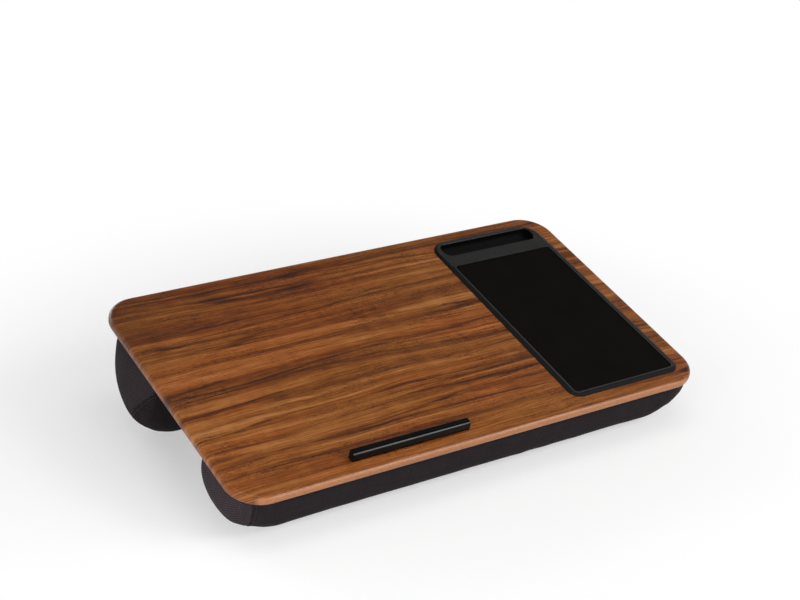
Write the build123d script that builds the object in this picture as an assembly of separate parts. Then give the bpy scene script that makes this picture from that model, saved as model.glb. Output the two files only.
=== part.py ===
from build123d import *
import math
import os

# Lap desk: a walnut board on two stuffed cloth bolsters, with a moulded insert and a device ledge.
# Every piece is built in the board's own frame: X runs to the right, Y to the rear, and the board's
# top face is Z = 0 with its middle at the origin. The whole is then tilted to stand on both bolsters.

# Board
board_length = 536.0
board_depth = 305.0
board_thickness = 9.5
board_corner = 33.0
top_round = 4.0
under_round = 3.0
laminate_thickness = 0.5
backing_thickness = 0.5

# Moulded insert
insert_x = 180.0
insert_length = 139.5
insert_depth = 274.0
front_corner = 13.0
rear_corner = 21.0
rim_height = 2.0
rim_edge_height = 0.6
rim_slope_width = 3.6
opening_length = 130.0
opening_depth = 266.0
opening_front_corner = 5.0
opening_rear_corner = 12.0
insert_gap = 0.25
skirt_drop = 6.0
skirt_wall = 1.8
recess_length = 126.5
recess_front = -130.6
recess_rear = 91.5
recess_corner = 4.0
recess_floor = -0.9
floor_thickness = 1.8

# Phone slot, moulded into the rear of the insert
slot_length = 120.0
slot_depth = 21.0
slot_y = 120.5
slot_corner = 8.0
slot_floor = -9.0
slot_wall = 1.5
slot_floor_round = 2.5
slot_bevel = 0.9

# Ribs and bosses under the insert's floor
rib_thickness = 1.4
rib_rows = (-80.0, -20.0, 40.0)
rib_columns = (-32.0, 32.0)
boss_offset = 60.5
boss_rows = (-100.0, -10.0, 75.0)
boss_radius = 3.4
boss_drop = 6.4
pilot_top = -1.8

# Mouse pad
pad_gap = 0.3
adhesive_margin = 2.0
adhesive_thickness = 0.2
foam_thickness = 1.7
pad_cloth_thickness = 0.4

# Clips and screws that hold the insert from below
clip_length = 16.0
clip_width = 12.0
clip_thickness = 1.2
clip_inner_reach = 3.5
rebate_margin = 1.0
clip_screw_radius = 1.3
clip_head_radius = 2.5
clip_head_height = 1.4
clip_screw_reach = 2.0
clip_hole_radius = 1.5
clip_corner = 2.0

# Device ledge and its screws
ledge_x = -82.0
ledge_length = 130.0
ledge_rear = -130.0
ledge_width = 8.0
ledge_height = 9.0
ledge_bevel = 2.6
ledge_rear_bevel = 0.8
ledge_end_bevel = 0.5
ledge_screw_spacing = 90.0
ledge_screw_radius = 1.6
ledge_head_radius = 3.3
ledge_head_height = 2.0
ledge_counterbore_radius = 4.0
ledge_counterbore_depth = 2.4
ledge_clearance_radius = 1.8
ledge_screw_top = 5.5

# Base cloth and its staples
base_cloth_thickness = 1.2
base_cloth_inset = 6.0
cloth_slot_margin = 1.0
staple_crown = 11.0
staple_wire = 0.8
staple_leg = 5.0
staple_rear_y = 138.0
staple_rear_pitch = 60.0
staple_rear_count = 9
staple_side_x = 253.0
staple_side_rows = (-38.0, 16.0)

# Bolsters: the panels between the two end seams, and the end panels that bulge beyond them
seam_x = 258.0
end_bulge = 8.0
bulge_height = 0.45
cover_thickness = 1.2
rest_flat = 0.5
front_bolster = {"y": -102.0, "half_width": 44.0, "depth": 57.0, "straight": 0.38,
                 "side_arc": 0.88, "end_depth": 0.68, "taper": 46.0}
rear_bolster = {"y": 78.6, "half_width": 46.8, "depth": 94.0, "straight": 0.43,
                "side_arc": 1.54, "end_depth": 0.81, "taper": 35.0}

# Heights that follow from the sizes above
board_underside = -board_thickness
cloth_underside = board_underside - base_cloth_thickness
adhesive_top = recess_floor + adhesive_thickness
foam_top = adhesive_top + foam_thickness
pad_top = foam_top + pad_cloth_thickness


def plate(length, depth, corner, z_low, z_high, x=0.0, y=0.0):
    """A flat plate with rounded corners, from z_low to z_high."""
    outline = Pos(x, y, z_low) * RectangleRounded(length, depth, corner)
    return extrude(outline, z_high - z_low)


def rod(radius, z_low, z_high, x, y):
    """An upright cylinder from z_low to z_high."""
    return Pos(x, y, (z_low + z_high) / 2) * Cylinder(radius, z_high - z_low)


def block(x_low, x_high, y_low, y_high, z_low, z_high):
    """A box between two opposite corners."""
    middle = Pos((x_low + x_high) / 2, (y_low + y_high) / 2, (z_low + z_high) / 2)
    return middle * Box(x_high - x_low, y_high - y_low, z_high - z_low)


# Board

def board_blank(inset, z_low):
    """The board's outer form, drawn in by inset on its top and edges."""
    blank = plate(board_length - 2 * inset, board_depth - 2 * inset, board_corner - inset, z_low, -inset)
    blank = fillet(blank.faces().sort_by(Axis.Z)[-1].edges(), top_round - inset)
    return fillet(blank.faces().sort_by(Axis.Z)[0].edges(), under_round - inset)


def insert_plate(length, depth, front, rear, z_low, z_high):
    """An upright plate in the insert's place, with its own corner radii in front and behind."""
    outline = Pos(insert_x, 0, z_low) * Rectangle(length, depth)
    outline = fillet(outline.vertices().group_by(Axis.Y)[0], front)
    outline = fillet(outline.vertices().group_by(Axis.Y)[-1], rear)
    return extrude(outline, z_high - z_low)


def opening_plate(inset, z_low, z_high):
    """The form of the board's opening, drawn in by inset."""
    return insert_plate(opening_length - 2 * inset, opening_depth - 2 * inset,
                        opening_front_corner - inset, opening_rear_corner - inset, z_low, z_high)


def insert_opening():
    """What is cut through the board for the insert."""
    return opening_plate(0, -2 * board_thickness, board_thickness)


def ledge_screw_places():
    """The two screw axes of the ledge."""
    y = ledge_rear - ledge_width / 2
    return [(ledge_x + side * ledge_screw_spacing / 2, y) for side in (-1, 1)]


def ledge_screw_holes():
    """Clearance holes through the board, each with a counterbore for the screw's head."""
    seat = board_underside + ledge_counterbore_depth
    holes = []
    for x, y in ledge_screw_places():
        holes.append(rod(ledge_clearance_radius, board_underside - 1, 1, x, y))
        holes.append(rod(ledge_counterbore_radius, board_underside - 1, seat, x, y))
    return holes


def clip_rebates():
    """Pockets in the board's underside, beside the opening, in which the clips lie."""
    outer = boss_offset - clip_inner_reach + clip_length + rebate_margin
    half_width = clip_width / 2 + rebate_margin
    pockets = []
    for y in boss_rows:
        for side in (-1, 1):
            inner_x = insert_x + side * (opening_length / 2 - 1)
            outer_x = insert_x + side * outer
            pockets.append(block(min(inner_x, outer_x), max(inner_x, outer_x), y - half_width,
                                 y + half_width, board_underside - 1, -boss_drop))
    return pockets


def staple_places():
    """Where the staples sit, each with the direction that its crown runs in."""
    first = -staple_rear_pitch * (staple_rear_count - 1) / 2
    rear = [(first + i * staple_rear_pitch, staple_rear_y, 0) for i in range(staple_rear_count)]
    sides = [(side * staple_side_x, y, 90) for side in (-1, 1) for y in staple_side_rows]
    return rear + sides


def staple(x, y, turn):
    """One staple: a flat crown under the cloth and two legs that go up into the board."""
    half = staple_crown / 2
    low = cloth_underside - staple_wire
    crown = block(-half, half, -staple_wire / 2, staple_wire / 2, low, cloth_underside)
    legs = [block(edge, edge + staple_wire, -staple_wire / 2, staple_wire / 2, low, low + staple_leg)
            for edge in (-half, half - staple_wire)]
    return Pos(x, y, 0) * Rot(0, 0, turn) * (crown + legs)


def core_form():
    return board_blank(laminate_thickness, board_underside + backing_thickness)


def backing_form():
    return plate(board_length - 2 * under_round, board_depth - 2 * under_round,
                 board_corner - under_round, board_underside, board_underside + backing_thickness)


def board_core(staples):
    """The board's core, with the insert's opening, the clip pockets and the screw holes."""
    return core_form() - insert_opening() - clip_rebates() - ledge_screw_holes() - staples


def walnut_laminate():
    """The thin face that wraps the board's top, its rounded edge and the turn under it."""
    wrap = board_blank(0, board_underside) - core_form() - backing_form()
    return wrap - insert_opening() - ledge_screw_holes()


def backing_laminate(staples):
    return backing_form() - insert_opening() - clip_rebates() - ledge_screw_holes() - staples


# Insert

def insert_rim():
    """A low upright edge on the board, then a long slope up to the crest."""
    edge = insert_plate(insert_length, insert_depth, front_corner, rear_corner, 0, rim_edge_height)
    slope_height = rim_height - rim_edge_height
    slope_angle = math.degrees(math.atan(rim_slope_width / slope_height))
    outline = edge.faces().sort_by(Axis.Z)[-1]
    return edge + extrude(outline, slope_height, taper=slope_angle)


def pad_space(gap, z_low, z_high):
    """The mouse pad's recess, or a layer of the pad if gap is given."""
    return plate(recess_length - 2 * gap, recess_rear - recess_front - 2 * gap, recess_corner - gap,
                 z_low, z_high, x=insert_x, y=(recess_front + recess_rear) / 2)


def slot_hollow():
    """The phone slot, rounded at its floor and bevelled at its mouth."""
    hollow = plate(slot_length, slot_depth, slot_corner, slot_floor, rim_height + 1, x=insert_x, y=slot_y)
    hollow = fillet(hollow.faces().sort_by(Axis.Z)[0].edges(), slot_floor_round)
    mouth = Pos(insert_x, slot_y, rim_height - slot_bevel)
    mouth_outline = mouth * RectangleRounded(slot_length, slot_depth, slot_corner)
    return hollow + extrude(mouth_outline, slot_bevel + 0.1, taper=-45)


def insert_underside():
    """Skirt, ribs, screw bosses and the slot's own walls, all below the rim."""
    floor_underside = recess_floor - floor_thickness
    skirt_inner = insert_gap + skirt_wall
    inner_length = opening_length - 2 * skirt_inner
    inner_depth = opening_depth - 2 * skirt_inner
    body = opening_plate(insert_gap, -skirt_drop, 0)
    body -= opening_plate(skirt_inner, -skirt_drop, floor_underside)
    for y in rib_rows:
        body += block(insert_x - inner_length / 2, insert_x + inner_length / 2, y - rib_thickness / 2,
                      y + rib_thickness / 2, -skirt_drop, floor_underside)
    for offset in rib_columns:
        x = insert_x + offset
        body += block(x - rib_thickness / 2, x + rib_thickness / 2, -inner_depth / 2,
                      slot_y - slot_depth / 2, -skirt_drop, floor_underside)
    for x, y in boss_places():
        body += rod(boss_radius, -boss_drop, floor_underside, x, y)
    rear_wall = opening_depth / 2 - insert_gap
    front_wall = slot_y - slot_depth / 2 - slot_wall
    slot_walls = plate(slot_length + 2 * slot_wall, rear_wall - front_wall, slot_corner + slot_wall,
                       slot_floor - slot_wall, 0, x=insert_x, y=(rear_wall + front_wall) / 2)
    return body + slot_walls


def boss_places():
    return [(insert_x + side * boss_offset, y) for y in boss_rows for side in (-1, 1)]


def insert_tray():
    """The moulded insert: rim, bare strip, pad recess and phone slot in one piece."""
    tray = insert_rim() + insert_underside()
    tray -= pad_space(0, recess_floor, rim_height + 1)
    tray -= slot_hollow()
    for x, y in boss_places():
        tray -= rod(clip_screw_radius, -boss_drop - 1, pilot_top, x, y)
    return tray


def insert_clips():
    """Flat tabs that reach from each boss onto the board's underside."""
    clips = []
    for x, y in boss_places():
        side = 1 if x > insert_x else -1
        middle = x + side * (clip_length / 2 - clip_inner_reach)
        tab = plate(clip_length, clip_width, clip_corner, -boss_drop - clip_thickness, -boss_drop,
                    x=middle, y=y)
        clips.append(tab - rod(clip_hole_radius, -board_thickness, 0, x, y))
    return clips


def insert_screws():
    head_top = -boss_drop - clip_thickness
    return [rod(clip_head_radius, head_top - clip_head_height, head_top, x, y)
            + rod(clip_screw_radius, head_top, -clip_screw_reach, x, y) for x, y in boss_places()]


# Device ledge

def device_ledge():
    """A bar with a bevelled front top edge, drilled from below for its screws."""
    front = ledge_rear - ledge_width
    profile = Polyline((ledge_rear, 0), (ledge_rear, ledge_height - ledge_rear_bevel),
                       (ledge_rear - ledge_rear_bevel, ledge_height), (front + ledge_bevel, ledge_height),
                       (front, ledge_height - ledge_bevel), (front, 0), close=True)
    start = Plane(origin=(ledge_x - ledge_length / 2, 0, 0), x_dir=(0, 1, 0), z_dir=(1, 0, 0))
    bar = extrude(start * make_face(profile), ledge_length)
    for end_face in (bar.faces().sort_by(Axis.X)[0], bar.faces().sort_by(Axis.X)[-1]):
        rising = end_face.edges().filter_by(lambda edge: edge.center().Z > 1.0)
        bar = chamfer(rising, ledge_end_bevel)
    for x, y in ledge_screw_places():
        bar -= rod(ledge_screw_radius, -1, ledge_screw_top + 0.5, x, y)
    return bar


def ledge_screws():
    seat = board_underside + ledge_counterbore_depth
    return [rod(ledge_head_radius, seat - ledge_head_height, seat, x, y)
            + rod(ledge_screw_radius, seat, ledge_screw_top, x, y) for x, y in ledge_screw_places()]


# Base cloth

def base_cloth(staples):
    """The cloth bonded over the board's underside, cut out round the phone slot."""
    sheet = plate(board_length - 2 * base_cloth_inset, board_depth - 2 * base_cloth_inset,
                  board_corner - base_cloth_inset, cloth_underside, board_underside)
    hole_length = slot_length + 2 * (slot_wall + cloth_slot_margin)
    hole_depth = slot_depth + 2 * (slot_wall + cloth_slot_margin)
    hole = plate(hole_length, hole_depth, slot_corner, cloth_underside - 1, 0, x=insert_x, y=slot_y)
    return sheet - hole - staples


# Bolsters

def arc_radii(bolster, half_width, depth):
    """Radii of the arc down each side and of the arc across the bottom, tangent to each other."""
    curved = depth * (1 - bolster["straight"])
    side = bolster["side_arc"] * curved
    bottom = (half_width**2 - 2 * half_width * side + curved**2) / (2 * (curved - side))
    return side, bottom


def section_size(bolster, x):
    """Half width and depth of the section at x: full in the middle, drawn in towards the seams."""
    into_taper = max(0.0, abs(x) - (seam_x - bolster["taper"])) / bolster["taper"]
    fullness = 1 - (1 - bolster["end_depth"]) * into_taper**2
    return bolster["half_width"] * (1 + fullness) / 2, bolster["depth"] * fullness


def section_points(bolster, x, inset):
    """Points down the right half of the section: along the side arc, then along the bottom arc."""
    half_width, depth = section_size(bolster, x)
    side, bottom = arc_radii(bolster, half_width, depth)
    side_centre = Vector(half_width - side, -depth * bolster["straight"])
    bottom_centre = Vector(0, bottom - depth)
    outward = (side_centre - bottom_centre) / (bottom - side)
    meeting = math.atan2(outward.Y, outward.X)
    side_angles = (0.0, meeting / 2, meeting)
    bottom_angles = ((meeting - math.pi / 2) / 2, -math.pi / 2)
    return ([side_centre + Vector(math.cos(a), math.sin(a)) * (side - inset) for a in side_angles]
            + [bottom_centre + Vector(math.cos(a), math.sin(a)) * (bottom - inset) for a in bottom_angles])


def section_face(bolster, x, inset=0.0, top_inset=0.0, shrink=1.0, x_at=None):
    """The bolster's D-shaped section as a face, shrunk about the end panel's middle if asked."""
    right = section_points(bolster, x, inset)
    top = Vector(right[0].X, -top_inset)
    middle = Vector(0, -bulge_height * section_size(bolster, x)[1])
    right = [middle + (point - middle) * shrink for point in [top] + right]
    left = [Vector(-point.X, point.Y) for point in right]
    outline = [Line(left[0], right[0]), Line(right[0], right[1]),
               ThreePointArc(right[1], right[2], right[3]), ThreePointArc(right[3], right[4], right[5]),
               ThreePointArc(left[5], left[4], left[3]), ThreePointArc(left[3], left[2], left[1]),
               Line(left[1], left[0])]
    section = Plane(origin=(x if x_at is None else x_at, bolster["y"], cloth_underside),
                    x_dir=(0, 1, 0), z_dir=(1, 0, 0))
    return section * make_face(outline)


def bolster_body(bolster, inset):
    """The bolster between its end seams: an even middle and a taper towards each seam."""
    taper_start = seam_x - bolster["taper"]
    body = extrude(section_face(bolster, -taper_start, inset), 2 * taper_start)
    steps = [taper_start + bolster["taper"] * share for share in (0.0, 0.25, 0.5, 0.75, 1.0)]
    for side in (-1, 1):
        body += loft([section_face(bolster, side * x, inset) for x in steps])
    return body


def bolster_end(bolster, side, inset):
    """The bulge beyond one end seam, flat at the seam."""
    bulge = end_bulge - inset
    angles = [math.radians(angle) for angle in (0, 22, 43, 62, 76, 85)]
    sections = [section_face(bolster, side * seam_x, inset, inset, math.cos(angle),
                             side * (seam_x + bulge * math.sin(angle))) for angle in angles]
    return loft(sections)


def below_floor(floor_direction, floor_height):
    """Everything under the surface that the desk stands on, in the board's frame."""
    tilted = Plane(origin=floor_direction * floor_height, x_dir=(1, 0, 0), z_dir=floor_direction)
    return tilted * Pos(0, 0, -50) * Box(2 * board_length, 3 * board_depth, 100)


def bolster_wrap(bolster, under_floor):
    """The long panel that goes down the front, under the fill and up the back."""
    return bolster_body(bolster, 0.0) - bolster_body(bolster, cover_thickness) - under_floor


def bolster_end_panel(bolster, side):
    return bolster_end(bolster, side, 0.0) - bolster_end(bolster, side, cover_thickness)


def bolster_fill(bolster):
    """The stuffing, which fills the wrap and both end panels."""
    ends = [bolster_end(bolster, side, cover_thickness) for side in (-1, 1)]
    return bolster_body(bolster, cover_thickness) + ends


# How the desk stands

def bottom_circle(bolster):
    """Centre and radius of the broad arc under the middle of a bolster, in Y and Z."""
    radius = arc_radii(bolster, bolster["half_width"], bolster["depth"])[1]
    return bolster["y"], cloth_underside - bolster["depth"] + radius, radius


def resting_tilt():
    """Angle between the board and the line that touches both bolsters from below."""
    front_y, front_z, front_radius = bottom_circle(front_bolster)
    rear_y, rear_z, rear_radius = bottom_circle(rear_bolster)
    apart = math.hypot(rear_y - front_y, rear_z - front_z)
    slope = math.atan2(rear_z - front_z, rear_y - front_y)
    return math.asin((rear_radius - front_radius) / apart) - slope


tilt = resting_tilt()
floor_normal = Vector(0, math.sin(tilt), math.cos(tilt))
front_y, front_z, front_radius = bottom_circle(front_bolster)
floor_level = front_y * math.sin(tilt) + front_z * math.cos(tilt) - front_radius + rest_flat

# The origin is under the middle of the tilted board's footprint, on the surface it stands on.
front_reach = (board_depth / 2 - top_round) * math.cos(tilt) - top_round * math.sin(tilt) + top_round
rear_reach = ((board_depth / 2 - under_round) * math.cos(tilt)
              + (board_thickness - under_round) * math.sin(tilt) + under_round)
stand = Pos(0, (front_reach - rear_reach) / 2, -floor_level) * Rot(math.degrees(tilt), 0, 0)

staples = [staple(*place) for place in staple_places()]
under_floor = below_floor(floor_normal, floor_level)

pieces = {
    "board_core": board_core(staples),
    "walnut_laminate": walnut_laminate(),
    "backing_laminate": backing_laminate(staples),
    "insert_tray": insert_tray(),
    "insert_clips": insert_clips(),
    "insert_screws": insert_screws(),
    "pad_adhesive": pad_space(pad_gap + adhesive_margin, recess_floor, adhesive_top),
    "mouse_pad_foam": pad_space(pad_gap, adhesive_top, foam_top),
    "mouse_pad_cloth": pad_space(pad_gap, foam_top, pad_top),
    "device_ledge": device_ledge(),
    "ledge_screws": ledge_screws(),
    "base_cloth": base_cloth(staples),
    "cloth_staples": staples,
}
for name, bolster in (("front", front_bolster), ("rear", rear_bolster)):
    pieces[name + "_bolster_wrap"] = bolster_wrap(bolster, under_floor)
    pieces[name + "_bolster_left_end"] = bolster_end_panel(bolster, -1)
    pieces[name + "_bolster_right_end"] = bolster_end_panel(bolster, 1)
    pieces[name + "_bolster_fill"] = bolster_fill(bolster)

os.makedirs("parts", exist_ok=True)
for name, piece in pieces.items():
    solids = piece if isinstance(piece, list) else [piece]
    export_step(Compound(children=[stand * solid for solid in solids]), f"parts/{name}.step")

print(f"tilt {math.degrees(tilt):.2f} degrees, board's middle {-floor_level:.2f} mm above the floor")
print(f"board's middle is moved by {(front_reach - rear_reach) / 2:.2f} mm along Y")
print(f"{len(pieces)} pieces written")
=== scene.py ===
# %% [markdown]
# # Lap desk
#
# A walnut-look board stands on two stuffed cloth bolsters, a deep one under its rear edge and a
# shallow one under its front edge, so its face slopes down to the user. A black moulded insert in its
# right side holds a mouse pad and a phone slot, and a black ledge near the front edge keeps what lies
# on the board from sliding off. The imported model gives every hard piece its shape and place. This
# notebook gives each piece its finish, and makes the soft pieces anew as sewn, stuffed cloth.

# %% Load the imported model
import math

import bpy
import numpy as np
from mathutils import Matrix, Vector, kdtree, noise


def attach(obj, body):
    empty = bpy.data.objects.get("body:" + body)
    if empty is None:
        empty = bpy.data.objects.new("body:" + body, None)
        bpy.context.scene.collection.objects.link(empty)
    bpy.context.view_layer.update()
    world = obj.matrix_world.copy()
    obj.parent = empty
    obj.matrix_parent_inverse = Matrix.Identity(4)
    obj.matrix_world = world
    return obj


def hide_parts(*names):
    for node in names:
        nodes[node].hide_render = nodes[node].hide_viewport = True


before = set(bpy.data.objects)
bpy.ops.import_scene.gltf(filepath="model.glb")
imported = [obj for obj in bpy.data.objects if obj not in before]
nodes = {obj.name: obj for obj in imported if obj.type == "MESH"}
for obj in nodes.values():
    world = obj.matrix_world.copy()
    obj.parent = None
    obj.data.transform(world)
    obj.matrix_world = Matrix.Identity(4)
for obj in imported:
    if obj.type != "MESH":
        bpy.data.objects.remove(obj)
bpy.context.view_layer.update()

scene = bpy.context.scene

# %% [markdown]
# ## The board's own frame
#
# The pieces are easiest to describe lying flat: X to the right, Y to the rear, and Z = 0 on the
# board's face with its middle at the origin, in millimetres. One matrix tilts that frame to the
# slope at which the desk stands on both bolsters.

# %% Board frame
TILT = math.radians(11.54)
MIDDLE = Vector((0, -0.00104, 0.08730))
BOARD = Matrix.Translation(MIDDLE) @ Matrix.Rotation(TILT, 4, "X") @ Matrix.Scale(0.001, 4)
BOARD_LENGTH = 536.0
BOARD_DEPTH = 305.0
BOARD_CORNER = 33.0
CLOTH_UNDERSIDE = -10.7


def to_row(points):
    """Points in board millimetres as points in the row frame, in metres."""
    matrix = np.array(BOARD)
    return np.asarray(points, float) @ matrix[:3, :3].T + matrix[:3, 3]


def to_board(points):
    """Points in the row frame as points in board millimetres."""
    matrix = np.array(BOARD.inverted())
    return np.asarray(points, float) @ matrix[:3, :3].T + matrix[:3, 3]


print(f"the board's middle is at {to_row([[0, 0, 0]])[0].round(4)}")

# %% [markdown]
# ## Camera
#
# Fitted to the board's four edges and the bolsters' outlines in the photograph: a long lens from the
# front left, about 26 degrees above the horizon, with the picture turned slightly.

# %% Camera
camera_data = bpy.data.cameras.new("camera")
camera_data.sensor_width = 36.0
camera_data.lens = 74.7225
camera = bpy.data.objects.new("camera", camera_data)
camera.location = (-0.854898, -1.206259, 0.850033)
camera.rotation_euler = [math.radians(angle) for angle in (63.9811, -3.8767, -33.0187)]
scene.collection.objects.link(camera)
scene.camera = camera
print(f"camera at {tuple(round(c, 3) for c in camera.location)}, lens {camera_data.lens:.1f} mm")

# %% [markdown]
# ## Building blocks for materials
#
# Every finish is worked out in millimetres, in the board's frame, so a grain line or a thread has its
# real size. Shared effects are node groups that give back only heights, masks and colours.

# %% Node helpers


class Graph:
    """Adds nodes to one node tree. Each call gives back the new node's output socket."""

    def __init__(self, tree):
        self.tree = tree
        self.count = 0

    def node(self, kind, inputs=(), output=0, **settings):
        made = self.tree.nodes.new("ShaderNode" + kind)
        made.location = (220 * (self.count % 12), -260 * (self.count // 12))
        self.count += 1
        for key, value in settings.items():
            setattr(made, key, value)
        for key, value in dict(inputs).items():
            self.give(made.inputs[key], value)
        return made.outputs[output] if len(made.outputs) else made

    def give(self, socket, value):
        """Joins another node's output to the socket, or sets the socket to a plain value."""
        if isinstance(value, bpy.types.NodeSocket):
            self.tree.links.new(value, socket)
        else:
            plain_colour = socket.type == "RGBA" and len(value) == 3
            socket.default_value = (*value, 1.0) if plain_colour else value

    def math(self, operation, a, b=0.0, c=0.0):
        return self.node("Math", {0: a, 1: b, 2: c}, operation=operation)

    def scaled(self, vector, scale, move=(0.0, 0.0, 0.0)):
        """The vector times scale, plus move."""
        return self.node("Mapping", {"Vector": vector, "Scale": scale, "Location": move})

    def noise(self, vector, scale=1.0, detail=2.0, roughness=0.5, distortion=0.0):
        return self.node("TexNoise", {"Vector": vector, "Scale": scale, "Detail": detail,
                                      "Roughness": roughness, "Distortion": distortion})

    def step(self, value, low, high):
        """0 below low, 1 above high, smooth between."""
        return self.node("MapRange", {"Value": value, "From Min": low, "From Max": high},
                         interpolation_type="SMOOTHSTEP")

    def between(self, value, low, high):
        """Value from 0 to 1 as a number from low to high."""
        return self.node("MapRange", {"Value": value, "To Min": low, "To Max": high})

    def ramp(self, value, stops):
        """A colour for each value, from (place, colour) stops."""
        out = self.node("ValToRGB", {"Fac": value})
        band = out.node.color_ramp
        while len(band.elements) < len(stops):
            band.elements.new(0.5)
        for element, (place, colour) in zip(band.elements, stops):
            element.position = place
            element.color = (*colour, 1.0)
        return out

    def mix(self, factor, a, b, blend="MIX"):
        """Colour a turned into colour b by factor."""
        return self.node("Mix", {"Factor": factor, 6: a, 7: b}, output=2, data_type="RGBA", blend_type=blend)


def node_group(name, inputs, outputs):
    """A new shader node group, its Graph, its inputs by name and its output node."""
    tree = bpy.data.node_groups.new(name, "ShaderNodeTree")
    for socket, kind in inputs:
        tree.interface.new_socket(socket, in_out="INPUT", socket_type="NodeSocket" + kind)
    for socket, kind in outputs:
        tree.interface.new_socket(socket, in_out="OUTPUT", socket_type="NodeSocket" + kind)
    graph = Graph(tree)
    source = tree.nodes.new("NodeGroupInput")
    sink = tree.nodes.new("NodeGroupOutput")
    return tree, graph, source.outputs, sink.inputs


def material(name):
    """A new material, its Graph and its Principled shader."""
    made = bpy.data.materials.new(name)
    made.use_nodes = True
    return made, Graph(made.node_tree), made.node_tree.nodes["Principled BSDF"]


def use(graph, tree, inputs=()):
    """A node of this group in a material, with its inputs joined; gives back its outputs."""
    out = graph.node("Group", node_tree=tree)
    for key, value in dict(inputs).items():
        graph.give(out.node.inputs[key], value)
    return out.node.outputs


def finish_with(graph, shader, height=None, distance=0.1, strength=1.0, **sockets):
    """Joins values to the shader's sockets and puts a bump of that height, in millimetres, on it."""
    for key, value in sockets.items():
        graph.give(shader.inputs[key.replace("_", " ")], value)
    if height is not None:
        bump = graph.node("Bump", {"Height": height, "Distance": distance / 1000, "Strength": strength})
        graph.tree.links.new(bump, shader.inputs["Normal"])


# Object coordinates turned into board millimetres.
board_mm, g, _, out = node_group("Board millimetres", [], [("Vector", "Vector")])
moved = g.node("TexCoord", output=3)
moved = g.node("VectorMath", {0: moved, 1: MIDDLE}, operation="SUBTRACT")
moved = g.node("VectorRotate", {"Vector": moved, "Angle": -TILT}, rotation_type="X_AXIS")
moved = g.node("VectorMath", {0: moved, "Scale": 1000.0}, operation="SCALE")
board_mm.links.new(moved, out["Vector"])


def board_place(graph):
    """A point's X, Y and Z in board millimetres."""
    return graph.node("SeparateXYZ", {"Vector": use(graph, board_mm)["Vector"]}).node.outputs


def board_units(graph, size):
    """A point's place in units of size board millimetres, one size or one for each axis."""
    sizes = size if isinstance(size, tuple) else (size, size, size)
    return graph.scaled(use(graph, board_mm)["Vector"], tuple(1 / length for length in sizes))


def board_noise(graph, size, *settings):
    """Noise that changes over size board millimetres; then detail, roughness and distortion."""
    return graph.noise(board_units(graph, size), 1.0, *settings)


print("helpers and the board's coordinates")

# %% [markdown]
# ## Floor, background and light
#
# A product studio: a pale floor and a white sweep round the object, a large soft box high on the
# front right, one overhead, one low in front, one low at the left that reaches the bolsters' ends, one
# behind so that the rear isn't black, and a dim ceiling. The dim ceiling matters. A black part mirrors
# what hangs above it, so it looks black only if that is dark. The camera sees white everywhere, and
# mirrors see it near the horizon, where the sweep stands. The lamps and the ceiling add up to the
# level at which a pale surface that faces up renders as its own colour. The floor keeps the shadow, and
# it fades to plain white about half a metre away from the desk.

# %% Lamps
scene.view_settings.view_transform = "Standard"


def soft_box(name, place, aim, width, height, watts):
    """A rectangular lamp at place that faces aim."""
    data = bpy.data.lights.new(name, "AREA")
    data.shape = "RECTANGLE"
    data.size = width
    data.size_y = height
    data.energy = watts
    lamp = bpy.data.objects.new(name, data)
    lamp.location = place
    lamp.rotation_euler = (Vector(aim) - Vector(place)).to_track_quat("-Z", "Y").to_euler()
    scene.collection.objects.link(lamp)
    return lamp


soft_box("light_key", (0.85, -1.15, 1.00), (0.05, -0.1, 0.08), 0.80, 0.80, 17.0)
soft_box("light_front", (0.55, -1.70, 0.50), (0.0, -0.1, 0.03), 0.9, 0.5, 5.0)
soft_box("light_above", (-0.10, -0.20, 2.10), (0.0, 0.0, 0.1), 1.5, 1.0, 10.5)
soft_box("light_back", (1.60, 0.60, 0.75), (0.20, 0.1, 0.1), 0.9, 0.9, 0.8)
left = soft_box("light_left", (-0.85, -0.42, 0.22), (-0.26, -0.32, 0.0), 0.35, 0.25, 1.45)
left.data.spread = math.radians(96)
left.visible_glossy = False  # the satin wood would mirror it as a white patch
soft_box("light_rear", (-0.45, 1.65, 0.60), (-0.05, 0.15, 0.04), 1.3, 0.7, 13.0)
print("six soft boxes")

# %% World
WHITE = (1.0, 1.0, 1.0)
CEILING = 0.13
world = bpy.data.worlds.new("studio")
scene.world = world
world.use_nodes = True
world.node_tree.nodes.clear()
g = Graph(world.node_tree)
rays = g.node("LightPath").node.outputs
upward = g.node("SeparateXYZ", {"Vector": g.node("TexCoord")}, output=2)
sweep = g.node("MapRange", {"Value": upward, "From Min": 0.45, "From Max": 0.20})
mirrors = g.math("MAXIMUM", rays["Is Glossy Ray"], rays["Is Transmission Ray"])
sees_white = g.math("MAXIMUM", rays["Is Camera Ray"], g.math("MULTIPLY", mirrors, sweep))
ceiling = g.node("Background", {"Color": WHITE, "Strength": CEILING})
white = g.node("Background", {"Color": WHITE, "Strength": 1.0})
g.node("OutputWorld", {"Surface": g.node("MixShader", {0: sees_white, 1: ceiling, 2: white})})
print("a dim ceiling and a white sweep")

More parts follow.
